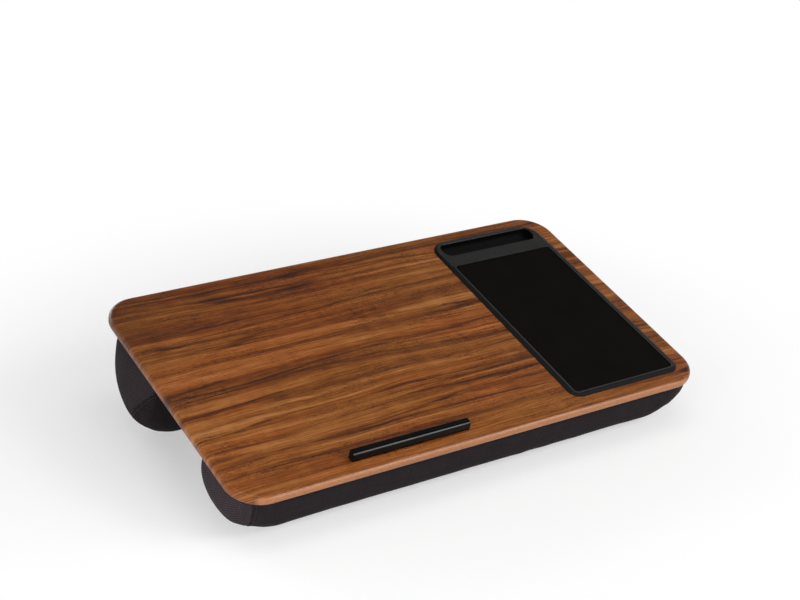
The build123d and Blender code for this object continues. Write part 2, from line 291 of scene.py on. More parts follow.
# %% Floor
REACH = 6.0
floor_mesh = bpy.data.meshes.new("floor")
corners = [(-REACH, -REACH, 0), (REACH, -REACH, 0), (REACH, REACH, 0), (-REACH, REACH, 0)]
floor_mesh.from_pydata(corners, [], [(0, 1, 2, 3)])
floor = bpy.data.objects.new("floor", floor_mesh)
scene.collection.objects.link(floor)
floor_paint, g, floor_shader = material("floor_paint")
rays = g.node("LightPath").node.outputs
seen = g.math("MAXIMUM", rays["Is Glossy Ray"], rays["Is Transmission Ray"])
seen = g.math("MAXIMUM", rays["Is Camera Ray"], seen)
shade = g.mix(seen, (0.42, 0.42, 0.42), (0.96, 0.96, 0.96))
finish_with(g, floor_shader, Base_Color=shade, Roughness=0.9, Specular_IOR_Level=0.0)
away = g.node("VectorMath", {0: g.node("TexCoord", output=3)}, output=1, operation="LENGTH")
away = g.node("MapRange", {"Value": away, "From Min": 0.24, "From Max": 0.60, "To Min": 0.45},
              interpolation_type="SMOOTHSTEP")
plain = g.node("Emission", {"Color": WHITE, "Strength": 1.0})
both = g.node("MixShader", {0: g.math("MULTIPLY", away, seen), 1: floor_shader.outputs[0], 2: plain})
g.give(floor_paint.node_tree.nodes["Material Output"].inputs["Surface"], both)
floor_mesh.materials.append(floor_paint)
print("a floor that looks near white and throws back less light")

# %% [markdown]
# ## Walnut laminate
#
# The real face is a thin walnut print or veneer, pressed over the board's edge. Its grain runs along
# the board's length. Growth rings give broad bands, pale and dark, that wander by a few millimetres.
# On top of them lie fine streaks, short dark pores and a few dark veins, and large zones are redder
# or paler. On the front and rear edges the same lines carry on round the curve, so the sheet is
# unrolled there. The front edge carries a pale band of painted light along its curve, broken up by
# fine grain noise, and the rear and right edges carry painted shade. The finish is satin, a little
# smoother where the pale wood is.

# %% Walnut figure
walnut_figure, g, _, out = node_group("Walnut figure", [], [("Color", "Color"), ("Height", "Float"),
                                                            ("Dark", "Float")])
parts = board_place(g)
side = g.math("SIGN", parts["Y"])
near_edge = g.step(g.math("ABSOLUTE", parts["Y"]), 100.0, 148.0)
drop = g.math("MULTIPLY", g.math("MULTIPLY", parts["Z"], side), near_edge)
across = g.math("SUBTRACT", parts["Y"], drop)
sheet = g.node("CombineXYZ", {"X": parts["X"], "Y": across, "Z": 0.0})


def centred(value, amount, onto):
    """A noise value's departure from its middle, times amount, added to another value."""
    return g.math("MULTIPLY_ADD", g.math("SUBTRACT", value, 0.5), amount, onto)


def grain_noise(along, wide, seed, detail=2.0, roughness=0.5, place=None):
    """Noise that changes over `along` mm down the grain and `wide` mm across it."""
    vector = g.scaled(place or sheet, (1 / along, 1 / wide, 1.0), (seed, 0.0, 3.7 * seed))
    return g.noise(vector, 1.0, detail, roughness)


# Lines wander slowly, as the trunk did; a little ripple rides on that.
warped = centred(grain_noise(340.0, 110.0, 1.0, 2.0), 30.0, across)
warped = centred(grain_noise(85.0, 40.0, 2.0, 2.0), 3.6, warped)
warped = centred(grain_noise(19.0, 8.0, 15.0, 2.0), 1.5, warped)
lines = g.node("CombineXYZ", {"X": parts["X"], "Y": warped, "Z": 0.0})

bands = grain_noise(700.0, 9.5, 3.0, 3.0, 0.55, lines)
broad = grain_noise(600.0, 42.0, 4.0, 1.0, 0.5, lines)
streaks = grain_noise(120.0, 2.0, 5.0, 4.0, 0.70, lines)
hairs = grain_noise(26.0, 0.75, 6.0, 2.0, 0.6, lines)
contour = g.math("ABSOLUTE", g.math("SUBTRACT", grain_noise(520.0, 26.0, 7.0, 1.0, 0.5, lines), 0.5))
vein = g.math("SUBTRACT", 1.0, g.step(contour, 0.003, 0.020))
dashes = g.step(grain_noise(6.5, 0.75, 8.0, 2.0, 0.5), 0.57, 0.68)
ticks = g.step(grain_noise(3.2, 0.95, 12.0, 1.0, 0.5), 0.58, 0.70)
dash_zone = g.step(grain_noise(75.0, 18.0, 9.0, 1.0), 0.45, 0.62)
pores = g.math("MULTIPLY", g.math("MAXIMUM", dashes, ticks), g.between(dash_zone, 0.30, 1.0))
shimmer = grain_noise(13.0, 36.0, 13.0, 2.0, 0.5)
print("growth bands, streaks, veins and pores")

# %% Walnut colour
tone = centred(bands, 1.30, 0.47)
tone = centred(broad, 0.75, tone)
tone = centred(streaks, 1.10, tone)
tone = centred(hairs, 0.95, tone)
tone = centred(shimmer, 0.22, tone)
tone = g.math("MULTIPLY_ADD", vein, 0.24, tone)
tone = g.math("MULTIPLY_ADD", pores, 0.33, tone)
colour = g.ramp(tone, [(0.00, (0.450, 0.193, 0.064)), (0.25, (0.315, 0.113, 0.025)),
                       (0.50, (0.205, 0.061, 0.0085)), (0.72, (0.110, 0.028, 0.0040)),
                       (0.90, (0.050, 0.0125, 0.0026)), (1.00, (0.022, 0.0070, 0.0024))])
red_zone = grain_noise(230.0, 46.0, 10.0, 2.0)
colour = g.mix(g.between(g.step(red_zone, 0.42, 0.62), 0.0, 0.6), colour, (1.08, 0.85, 0.80), "MULTIPLY")
below = g.math("MULTIPLY", parts["Z"], -1.0)
edge = g.step(below, 0.10, 1.6)
front = g.math("MULTIPLY", g.step(below, 0.35, 1.6), g.step(parts["Y"], -146.8, -150.5))
# Painted light: a pale band along the front edge's curve, broken up by fine grain noise.
front_edge_painted_light = g.math("MULTIPLY", front, g.between(grain_noise(3.2, 1.3, 14.0, 3.0, 0.7), 0.10, 1.05))
colour = g.mix(front_edge_painted_light, colour, (0.640, 0.277, 0.122))
# Painted shade: the rear and right edges are darkened.
back = g.math("MAXIMUM", g.step(parts["X"], 264.0, 266.5), g.step(parts["Y"], 148.5, 151.0))
colour = g.mix(g.math("MULTIPLY", g.math("MULTIPLY", back, edge), 0.75), colour, (0.040, 0.0140, 0.0060))
height = g.math("MULTIPLY_ADD", tone, -0.5, g.math("MULTIPLY", pores, -0.8))
walnut_figure.links.new(colour, out["Color"])
walnut_figure.links.new(height, out["Height"])
walnut_figure.links.new(g.math("MAXIMUM", g.math("MINIMUM", tone, 1.0), 0.0), out["Dark"])

walnut, g, shader = material("walnut_laminate")
figure = use(g, walnut_figure)
smudge = board_noise(g, (70, 45, 45), 3.0, 0.6)
roughness = g.math("MULTIPLY_ADD", figure["Dark"], 0.10, g.between(smudge, 0.26, 0.36))
finish_with(g, shader, figure["Height"], 0.05, 0.5, Base_Color=figure["Color"], Roughness=roughness,
            Specular_IOR_Level=0.36)
nodes["walnut_laminate"].data.materials[0] = walnut
print("walnut on the laminate")

# %% [markdown]
# ## Board core and backing
#
# Under the laminate is pressed wood fibre, seen only inside the insert's opening and the screw holes:
# tan, with short fibres lying every way and a slightly furry cut edge. The underside has a thin brown
# backing sheet, embossed with a faint orange-peel texture.

# %% Core and backing
core, g, shader = material("pressed_fibre")
fibres = board_noise(g, (1.6, 1.6, 0.4), 4.0, 0.7, 0.6)
colour = g.ramp(fibres, [(0.25, (0.16, 0.105, 0.058)), (0.5, (0.27, 0.185, 0.105)),
                         (0.8, (0.40, 0.30, 0.18))])
finish_with(g, shader, fibres, 0.15, 0.8, Base_Color=colour, Roughness=0.92, Specular_IOR_Level=0.15)
nodes["board_core"].data.materials[0] = core

backing, g, shader = material("backing_sheet")
peel = board_noise(g, 1.3)
shade = board_noise(g, (55, 12, 12), 3.0, 0.6)
colour = g.ramp(shade, [(0.3, (0.020, 0.013, 0.010)), (0.7, (0.032, 0.021, 0.015))])
finish_with(g, shader, peel, 0.05, 0.5, Base_Color=colour, Roughness=0.6)
nodes["backing_laminate"].data.materials[0] = backing
print("pressed fibre on the core, a backing sheet under it")

# %% [markdown]
# ## Moulded insert and ledge
#
# The insert is black plastic from a spark-eroded mould: a fine even grain that scatters light. Its
# level parts are painted greyer than its slopes and the phone slot's walls, as painted light; the
# outside slope of its rim beside the pad and the slot's inside are painted darker, as painted shade;
# and a thin paler line of painted highlight runs round the top of its rim, next to the pad. The phone
# slot's inside is smoother. The ledge is the same plastic from a polished mould. Its front top edge is
# round, with one bright line of painted highlight along it, so the bar is made anew with that edge: a
# profile in rings along it, drawn in at both ends.

# %% Moulded grain
moulded_grain, g, given, out = node_group("Moulded grain", [("Size", "Float")], [("Height", "Float"),
                                                                              ("Blotches", "Float")])
fine = g.node("VectorMath", {0: use(g, board_mm)["Vector"], "Scale": g.math("DIVIDE", 1.0, given["Size"])},
              operation="SCALE")
cells = g.node("TexVoronoi", {"Vector": fine, "Scale": 1.0}, feature="SMOOTH_F1")
grain = g.noise(fine, 0.8, 3.0, 0.6)
moulded_grain.links.new(g.math("MULTIPLY_ADD", cells, 0.5, grain), out["Height"])
moulded_grain.links.new(board_noise(g, (22, 22, 6), 4.0, 0.65), out["Blotches"])
print("a grain for moulded plastic")

# %% Insert plastic
RECESS_MIDDLE = (180.0, -19.55)
RECESS_HALF = (63.25, 111.05)
RECESS_CORNER = 4.0
SLOT_Y = 120.5
insert_plastic, g, shader = material("insert_plastic")
grain = use(g, moulded_grain, {"Size": 0.35})
place = board_place(g)
# Painted light: the level parts are painted greyer than the slopes and the slot's walls.
on_top = g.step(place["Z"], 1.80, 1.97)
level_painted_light = g.ramp(grain["Blotches"], [(0.35, (0.0155, 0.0158, 0.0152)), (0.70, (0.0215, 0.0218, 0.0208))])
colour = g.mix(on_top, (0.0030, 0.0033, 0.0037), level_painted_light)
# How far a point lies outside the pad's recess, a rectangle with round corners.
reach = [g.math("SUBTRACT", g.math("ABSOLUTE", g.math("SUBTRACT", place[axis], middle)), half - RECESS_CORNER)
         for axis, middle, half in zip("XY", RECESS_MIDDLE, RECESS_HALF)]
corner = g.node("CombineXYZ", {axis: g.math("MAXIMUM", far, 0.0) for axis, far in zip("XY", reach)})
from_pad = g.node("VectorMath", {0: corner}, output=1, operation="LENGTH")
from_pad = g.math("ADD", from_pad, g.math("MINIMUM", g.math("MAXIMUM", *reach), 0.0))
from_pad = g.math("SUBTRACT", from_pad, RECESS_CORNER)
beside_pad = g.step(place["Y"], 92.5, 91.0)
# Painted shade on the outside slope of the rim beside the pad.
rim_outside_painted_shade = g.math("MULTIPLY", beside_pad, g.step(from_pad, 1.1, 1.9))
colour = g.mix(rim_outside_painted_shade, colour, (0.0034, 0.0037, 0.0041))
# Painted highlight: a thin paler line round the top of the rim next to the pad, broken up by blotches.
rim_top_painted_highlight = g.math("MULTIPLY", g.step(from_pad, -0.1, 0.3), g.step(from_pad, 1.7, 1.0))
rim_top_painted_highlight = g.math("MULTIPLY", g.math("MULTIPLY", rim_top_painted_highlight, beside_pad), g.between(grain["Blotches"], 0.25, 1.0))
colour = g.mix(rim_top_painted_highlight, colour, (0.042, 0.043, 0.041))
from_slot = g.math("ABSOLUTE", g.math("SUBTRACT", place["Y"], SLOT_Y))
in_slot = g.math("MULTIPLY", g.step(from_slot, 11.9, 11.4), g.step(place["Z"], 1.6, 1.1))
# Painted shade inside the phone slot.
colour = g.mix(in_slot, colour, (0.0030, 0.0031, 0.0031))
smooth = g.math("MULTIPLY", in_slot, g.step(place["Z"], -5.5, -4.0))
roughness = g.math("MULTIPLY_ADD", smooth, -0.24, g.between(grain["Blotches"], 0.44, 0.56))
roughness = g.math("MULTIPLY_ADD", g.step(place["Z"], -4.0, -5.5), 0.4, roughness)
finish_with(g, shader, grain["Height"], 0.05, 0.7, Base_Color=colour, Roughness=roughness,
            Specular_IOR_Level=0.16)
nodes["insert_tray"].data.materials[0] = insert_plastic
print("grained plastic on the insert")

# %% Ledge plastic
ledge_plastic, g, shader = material("ledge_plastic")
grain = use(g, moulded_grain, {"Size": 0.9})
place = board_place(g)
colour = g.ramp(grain["Blotches"], [(0.35, (0.0030, 0.0033, 0.0031)), (0.70, (0.0048, 0.0051, 0.0047))])
# Painted highlight: one bright line along the ledge's round front top edge, broken up by blotches.
ledge_painted_highlight = g.math("MULTIPLY", g.step(place["Z"], 7.6, 8.2), g.step(place["Y"], -136.5, -137.0))
ledge_painted_highlight = g.math("MULTIPLY", ledge_painted_highlight, g.between(grain["Blotches"], 0.3, 1.0))
colour = g.mix(ledge_painted_highlight, colour, (0.115, 0.118, 0.116))
finish_with(g, shader, grain["Height"], 0.012, 0.5, Base_Color=colour,
            Roughness=g.between(grain["Blotches"], 0.16, 0.24), Specular_IOR_Level=0.12)
print("polished plastic for the ledge")

# %% [markdown]
# ## Steel and adhesive
#
# Clips, screws and staples are bright zinc-plated steel with fine drawn lines and a few dull patches.
# The adhesive sheet is a cloudy film.

# %% Steel and adhesive
steel, g, shader = material("zinc_plated_steel")
drawn = board_noise(g, (3.0, 0.12, 0.12))
patches = board_noise(g, 4.0, 4.0, 0.6)
colour = g.ramp(patches, [(0.3, (0.50, 0.50, 0.48)), (0.7, (0.68, 0.68, 0.67))])
finish_with(g, shader, drawn, 0.01, 0.4, Base_Color=colour, Metallic=1.0,
            Roughness=g.between(patches, 0.24, 0.42))
for name in ("insert_clips", "insert_screws", "ledge_screws", "cloth_staples"):
    nodes[name].data.materials[0] = steel

film, g, shader = material("adhesive_film")
cloud = board_noise(g, 9.0, 4.0, 0.6)
colour = g.ramp(cloud, [(0.3, (0.50, 0.48, 0.39)), (0.7, (0.62, 0.60, 0.52))])
finish_with(g, shader, cloud, 0.02, 0.4, Base_Color=colour, Roughness=g.between(cloud, 0.3, 0.5))
nodes["pad_adhesive"].data.materials[0] = film
print("steel on four nodes, film on the adhesive")

# %% [markdown]
# ## Cloths
#
# The bolsters and the base are covered in a charcoal plain weave of rather thick, uneven threads, a
# little over 1 mm apart. Each thread passes over and under the next, so the surface is a chequer of
# small crowns, with painted shade in the hollows between them, and single threads are thicker or paler
# than their neighbours. The mouse pad's face is a much finer, closer knit, nearly black and quite
# matte. Both read the piece's own texture coordinates, which hold the flat cloth's millimetres, so the
# threads follow each sewn panel. The bolsters' end panels use a copy of the same cloth painted about
# 1.8 times lighter, as painted light.

# %% Plain weave
plain_weave, g, given, out = node_group("Plain weave", [("Pitch", "Float")],
                                        [("Height", "Float"), ("Thread", "Float"), ("Gap", "Float")])
flat = g.node("UVMap", uv_map="cloth_mm")
flat = g.node("VectorMath", {0: flat, "Scale": 1000.0}, operation="SCALE")
uneven = g.scaled(flat, (1 / 14, 1 / 14, 1.0))
uneven = g.node("TexNoise", {"Vector": uneven, "Scale": 1.0, "Detail": 1.0}, output=1)
uneven = g.node("VectorMath", {0: uneven, 1: (0.5, 0.5, 0.5)}, operation="SUBTRACT")
flat = g.node("VectorMath", {0: uneven, 1: (0.9, 0.9, 0.0), 2: flat}, operation="MULTIPLY_ADD")
flat = g.node("VectorMath", {0: flat, "Scale": g.math("DIVIDE", math.pi, given["Pitch"])}, operation="SCALE")
ways = g.node("SeparateXYZ", {"Vector": flat}).node.outputs
warp = g.math("COSINE", ways["X"])
weft = g.math("COSINE", ways["Y"])
crown = g.math("ABSOLUTE", g.math("MULTIPLY", warp, weft))
over = g.step(g.math("MULTIPLY", warp, weft), -0.15, 0.15)
warp_thread = g.noise(g.scaled(flat, (1 / 3.3, 1 / 120, 1.0)), 1.0, 1.0)
weft_thread = g.noise(g.scaled(flat, (1 / 120, 1 / 3.3, 1.0), (5.0, 5.0, 5.0)), 1.0, 1.0)
thread = g.node("Mix", {0: over, 2: warp_thread, 3: weft_thread}, data_type="FLOAT")
thread = g.math("MULTIPLY_ADD", thread, 0.45, 0.275)
thread = g.math("MULTIPLY_ADD", g.math("SUBTRACT", over, 0.5), -0.34, thread)
plain_weave.links.new(g.math("POWER", crown, 0.5), out["Height"])
plain_weave.links.new(thread, out["Thread"])
plain_weave.links.new(crown, out["Gap"])
print("a plain weave for all the cloths")

# %% Cloth materials
# The threads' dark and pale colours, the painted shade in the hollows between crowns, and dust.
CHARCOALS = ((0.0130, 0.0097, 0.0111), (0.0520, 0.0410, 0.0457), (0.0075, 0.0056, 0.0064),
             (0.0380, 0.0305, 0.0335))


def charcoal_cloth(name, shade):
    """The covers' cloth; shade scales all its colours, and a shade above 1 paints light into them."""
    dark, pale, gap, dust = (tuple(shade * part for part in colour) for colour in CHARCOALS)
    made, g, shader = material(name)
    weave = use(g, plain_weave, {"Pitch": 1.15})
    mottle = board_noise(g, 34, 3.0, 0.6)
    colour = g.ramp(weave["Thread"], [(0.30, dark), (0.70, pale)])
    # Painted shade in the hollows between the threads' crowns.
    colour = g.mix(g.step(weave["Gap"], 0.50, 0.05), colour, gap)
    colour = g.mix(g.between(mottle, 0.0, 0.28), colour, dust)
    finish_with(g, shader, weave["Height"], 0.22, 0.55, Base_Color=colour, Roughness=0.92,
                Specular_IOR_Level=0.05, Sheen_Weight=0.02, Sheen_Roughness=0.5)
    return made


charcoal = charcoal_cloth("charcoal_weave", 0.98)
# The end panels' copy, painted 1.8 times lighter: painted light.
charcoal_painted_light = charcoal_cloth("charcoal_weave_painted_light", 1.76)

pad_knit, g, shader = material("pad_knit")
weave = use(g, plain_weave, {"Pitch": 0.35})
mottle = board_noise(g, 40, 3.0, 0.6)
colour = g.ramp(g.math("MULTIPLY_ADD", weave["Thread"], 0.5, g.math("MULTIPLY", mottle, 0.5)),
                [(0.3, (0.0034, 0.0030, 0.0025)), (0.7, (0.0054, 0.0048, 0.0041))])
finish_with(g, shader, weave["Height"], 0.06, 0.4, Base_Color=colour, Roughness=0.95, Specular_IOR_Level=0.04)

foam, g, shader = material("pad_foam")
bubbles = g.node("TexVoronoi", {"Vector": board_units(g, 0.5), "Scale": 1.0})
colour = g.ramp(bubbles, [(0.1, (0.006, 0.006, 0.006)), (0.7, (0.016, 0.016, 0.016))])
finish_with(g, shader, bubbles, 0.10, 0.7, Base_Color=colour, Roughness=0.9, Specular_IOR_Level=0.2)

thread_paint, g, shader = material("sewing_thread")
twist = g.node("TexWave", {"Vector": use(g, board_mm)["Vector"], "Scale": 3.0, "Distortion": 1.0}, output=1)
colour = g.ramp(twist, [(0.2, (0.008, 0.006, 0.007)), (0.8, (0.022, 0.018, 0.020))])
finish_with(g, shader, twist, 0.05, 0.5, Base_Color=colour, Roughness=0.6, Sheen_Weight=0.1)
print("charcoal weave, pad knit, foam and thread")

# %% [markdown]
# ## Making pieces
#
# A soft piece is made from points in board millimetres and faces, with the flat cloth's own
# coordinates for each face corner where it is woven.

# %% Piece helpers


def add_piece(name, points, faces, paint, flat=None):
    """A smooth mesh piece from board millimetres; flat holds one (u, v) in millimetres per face corner."""
    mesh = bpy.data.meshes.new(name)
    mesh.from_pydata([tuple(p) for p in to_row(points)], [], [tuple(int(i) for i in f) for f in faces])
    mesh.polygons.foreach_set("use_smooth", [True] * len(mesh.polygons))
    if flat is not None:
        layer = mesh.uv_layers.new(name="cloth_mm")
        layer.data.foreach_set("uv", (np.asarray(flat, float) / 1000).ravel())
    mesh.materials.append(paint)
    mesh.update()
    made = bpy.data.objects.new(name, mesh)
    scene.collection.objects.link(made)
    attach(made, "root")
    return made


def outward(points, faces):
    """The faces, turned so that the closed mesh's normals point out."""
    points = np.asarray(points)
    volume = 0.0
    for f in faces:
        for k in range(1, len(f) - 1):
            volume += np.dot(points[f[0]], np.cross(points[f[k]], points[f[k + 1]]))
    return faces if volume > 0 else [f[::-1] for f in faces]


def ring_faces(rings, count, first=0):
    """Quads between neighbouring rings of count points each, from point number first."""
    return [(first + i * count + j, first + i * count + (j + 1) % count,
             first + (i + 1) * count + (j + 1) % count, first + (i + 1) * count + j)
            for i in range(rings - 1) for j in range(count)]


def end_faces(rings, count, first=0):
    """The two faces that close the first and the last ring."""
    last = first + (rings - 1) * count
    return [tuple(range(first, first + count))[::-1], tuple(range(last, last + count))]


def lumps(points, size, seed):
    """One smooth value from -1 to 1 for each point, which changes over about size millimetres."""
    shift = Vector((17.3 * seed, 5.1 * seed, 9.7 * seed))
    return np.array([noise.noise(Vector(p) / size + shift) for p in points])


print("piece helpers")

# %% Ledge bar
LEDGE_LEFT, LEDGE_RIGHT, LEDGE_FRONT, LEDGE_REAR, LEDGE_TOP = -147.0, -17.0, -138.0, -130.0, 9.0
FRONT_ROUND, REAR_ROUND, END_ROUND = 2.3, 1.0, 0.9


def arc(centre_y, centre_z, radius, first, last, steps):
    """Points along an arc in the bar's section, with angles in degrees from the rear."""
    angles = [math.radians(first + (last - first) * k / steps) for k in range(steps + 1)]
    return [(centre_y + radius * math.cos(a), centre_z + radius * math.sin(a)) for a in angles]


def drawn_in(profile, amount):
    """A convex section with every side moved in by amount; its foot stays on the board."""
    count = len(profile)
    moved = []
    for k in range(count):
        before, here, after = profile[k - 1], profile[k], profile[(k + 1) % count]
        a, b = here - before, after - here
        na, nb = np.array([a[1], -a[0]]), np.array([b[1], -b[0]])
        na, nb = na / np.linalg.norm(na), nb / np.linalg.norm(nb)
        out_way = (na + nb) / max(1 + na @ nb, 0.3)
        place = here - amount * out_way
        moved.append((place[0], here[1] if here[1] < 0.01 else place[1]))
    return np.array(moved)


profile = [(LEDGE_REAR, 0.0), (LEDGE_REAR, 4.0)]
profile += arc(LEDGE_REAR - REAR_ROUND, LEDGE_TOP - REAR_ROUND, REAR_ROUND, 0, 90, 5)
profile += arc(LEDGE_FRONT + FRONT_ROUND, LEDGE_TOP - FRONT_ROUND, FRONT_ROUND, 90, 180, 10)
profile = np.array(profile + [(LEDGE_FRONT, 3.0), (LEDGE_FRONT, 0.0)])
rings = []
for end, way in ((LEDGE_LEFT, 1), (LEDGE_RIGHT, -1)):
    half = [(end + way * END_ROUND * (1 - math.sin(a)), END_ROUND * (1 - math.cos(a)))
            for a in np.linspace(math.pi / 2, 0, 6)]
    rings += half if way > 0 else half[::-1]
count = len(profile)
bar_points = [np.column_stack([np.full(count, x), drawn_in(profile, inset)]) for x, inset in rings]
bar_points = np.concatenate(bar_points)
bar_faces = outward(bar_points, ring_faces(len(rings), count) + end_faces(len(rings), count))
bar = add_piece("device_ledge_bar", bar_points, bar_faces, ledge_plastic)
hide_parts("device_ledge")
print(f"ledge bar: {len(bar_faces)} faces")

# %% [markdown]
# ## The bolsters' form
#
# Each bolster is a D in section: flat where it is sewn under the board, straight a little way down,
# then round. It is full in the middle and draws in towards its ends, where a D-shaped end panel is
# sewn on and bulges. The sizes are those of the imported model. The skin is a grid of rings along the
# bolster, closed by a patch at each end.

# %% Bolster section
END_X = 258.0
SEAM_X = 248.5
SIDE_SHARE = 0.52
FRONT = {"y": -102.0, "half_width": 44.0, "depth": 57.0, "straight": 0.38, "side_arc": 0.88,
         "end_depth": 0.68, "taper": 46.0}
REAR = {"y": 78.6, "half_width": 46.8, "depth": 94.0, "straight": 0.43, "side_arc": 1.54,
        "end_depth": 0.81, "taper": 35.0}


def section_size(form, x):
    """Half width and depth of the section at x."""
    into_taper = max(0.0, abs(x) - (END_X - form["taper"])) / form["taper"]
    fullness = 1 - (1 - form["end_depth"]) * min(into_taper, 1.0) ** 2
    return form["half_width"] * (1 + fullness) / 2, form["depth"] * fullness


def half_outline(form, x):
    """Many points down the section's right half, as (y, z) from the middle of its top edge."""
    half_width, depth = section_size(form, x)
    curved = depth * (1 - form["straight"])
    side = form["side_arc"] * curved
    bottom = (half_width**2 - 2 * half_width * side + curved**2) / (2 * (curved - side))
    centre_side = np.array([half_width - side, -depth * form["straight"]])
    centre_bottom = np.array([0.0, bottom - depth])
    between = (centre_side - centre_bottom) / (bottom - side)
    meeting = math.atan2(between[1], between[0])
    points = [(half_width, -depth * form["straight"] * t) for t in np.linspace(0, 1, 12)[:-1]]
    for centre, radius, angles in ((centre_side, side, np.linspace(0, meeting, 60)[:-1]),
                                   (centre_bottom, bottom, np.linspace(meeting, -math.pi / 2, 60))):
        points += [tuple(centre + radius * np.array([math.cos(a), math.sin(a)])) for a in angles]
    return np.array(points)


def path_length(path):
    """How far along a path each of its points lies."""
    return np.concatenate([[0.0], np.cumsum(np.linalg.norm(np.diff(path, axis=0), axis=1))])


def spaced(path, count, start, end):
    """Points evenly spaced from one share of a path's length to another."""
    length = path_length(path)
    wanted = np.linspace(start, end, count) * length[-1]
    return np.stack([np.interp(wanted, length, path[:, k]) for k in (0, 1)], axis=1)


def ring(form, x, top_count, side_count):
    """One closed ring of the section: along the top, down the right, back under, up the left."""
    half = half_outline(form, x)
    right = spaced(half, side_count + 1, 0.0, SIDE_SHARE)
    under = spaced(half, top_count // 2 + 1, SIDE_SHARE, 1.0)
    mirror = np.array([-1.0, 1.0])
    top = np.stack([np.linspace(-half[0, 0], half[0, 0], top_count + 1), np.zeros(top_count + 1)], axis=1)
    under = np.concatenate([under, under[-2::-1] * mirror])
    left = right[::-1] * mirror
    return np.concatenate([top[:-1], right[:-1], under[:-1], left[:-1]])


for name, form in (("front", FRONT), ("rear", REAR)):
    print(name, "section", [round(v, 1) for v in section_size(form, 0)], "at its ends",
          [round(v, 1) for v in section_size(form, END_X)])

# %% End panels
END_BULGE = 8.0
BULGE_HEIGHT = 0.45


def in_board(form, x, section):
    """Points (y, z) of the section at x in board millimetres."""
    return np.column_stack([np.broadcast_to(x, len(section)), section + (form["y"], CLOTH_UNDERSIDE)])


def bulge_middle(form, x):
    """The place (y, z) in the section at x from which the bulge spreads."""
    return np.array([0.0, -BULGE_HEIGHT * section_size(form, x)[1]])


def loop_sides(loop, top_count, side_count):
    """A ring's top, right, under and left side, each read to the right or down."""
    closed = np.concatenate([loop, loop[:1]])
    low_right = top_count + side_count
    low_left = low_right + top_count
    return (closed[:top_count + 1], closed[top_count:low_right + 1],
            closed[low_right:low_left + 1][::-1], closed[low_left:][::-1])


def end_patch(loop, top_count, side_count):
    """A grid over the panel inside a ring, as (y, z): rows go down, columns to the right."""
    top, right, under, left = loop_sides(loop, top_count, side_count)
    u = np.linspace(0, 1, top_count + 1)[None, :, None]
    v = np.linspace(0, 1, side_count + 1)[:, None, None]
    flat = (1 - v) * top[None] + v * under[None] + (1 - u) * left[:, None] + u * right[:, None]
    corners = (1 - u) * (1 - v) * top[0] + u * (1 - v) * top[-1] + (1 - u) * v * under[0] + u * v * under[-1]
    return flat - corners


def along_bulge(share, limit):
    """What a point's distance from the bulge's middle is multiplied by to measure it along the bulge."""
    def arc(turn):
        turns = turn[:, None] * np.linspace(0, 1, 25) * math.pi / 2
        across, out = np.diff(np.sin(turns)) * limit[:, None], np.diff(np.cos(turns)) * END_BULGE
        return np.hypot(across, out).sum(axis=1)
    return arc(share) / arc(np.ones_like(share)) / np.maximum(np.sin(share * math.pi / 2), 1e-6)


def angle_of(place):
    """The angle of each (y, z), from 0 to a full turn."""
    return np.mod(np.arctan2(place[:, 1], place[:, 0]), 2 * math.pi)


def end_panel(form, side, top_count, side_count):
    """The points inside one end panel, and where each lies on the panel when that is flat."""
    loop = ring(form, side * END_X, top_count, side_count)
    middle = bulge_middle(form, END_X)
    spokes = loop - middle
    inner = end_patch(loop, top_count, side_count)[1:-1, 1:-1].reshape(-1, 2) - middle
    order = np.argsort(angle_of(spokes))
    limit = np.interp(angle_of(inner), angle_of(spokes)[order], np.linalg.norm(spokes, axis=1)[order],
                      period=2 * math.pi)
    far = np.linalg.norm(inner, axis=1)
    share = np.clip(far / limit, 0, 1)
    spread = np.where(far > 1e-6, np.sin(share * math.pi / 2) * limit / np.maximum(far, 1e-6), 1.0)
    bulge = END_BULGE * np.cos(share * math.pi / 2)
    place = in_board(form, side * (END_X + bulge), middle + inner * spread[:, None])
    return place, middle + inner * (spread * along_bulge(share, limit))[:, None]


print(f"end panels that bulge by {END_BULGE:.0f} mm")

# %% Bolster skin
FINE_FROM = SEAM_X - 9.0


def stations(coarse, fine=0.0):
    """Places along the bolster, closer together round each seam if fine is given."""
    if not fine:
        return np.linspace(-END_X, END_X, int(2 * END_X / coarse) + 1)
    edge = np.arange(FINE_FROM, END_X - 0.2, fine)
    middle = np.linspace(-FINE_FROM, FINE_FROM, int(2 * FINE_FROM / coarse) + 1)[1:-1]
    return np.concatenate([[-END_X], -edge[::-1], middle, edge, [END_X]])


def grid_counts(form, step):
    """How many faces about step mm wide go along a section's top, and down one side of it."""
    return 2 * round(form["half_width"] / step), round(form["depth"] * 0.62 / step)


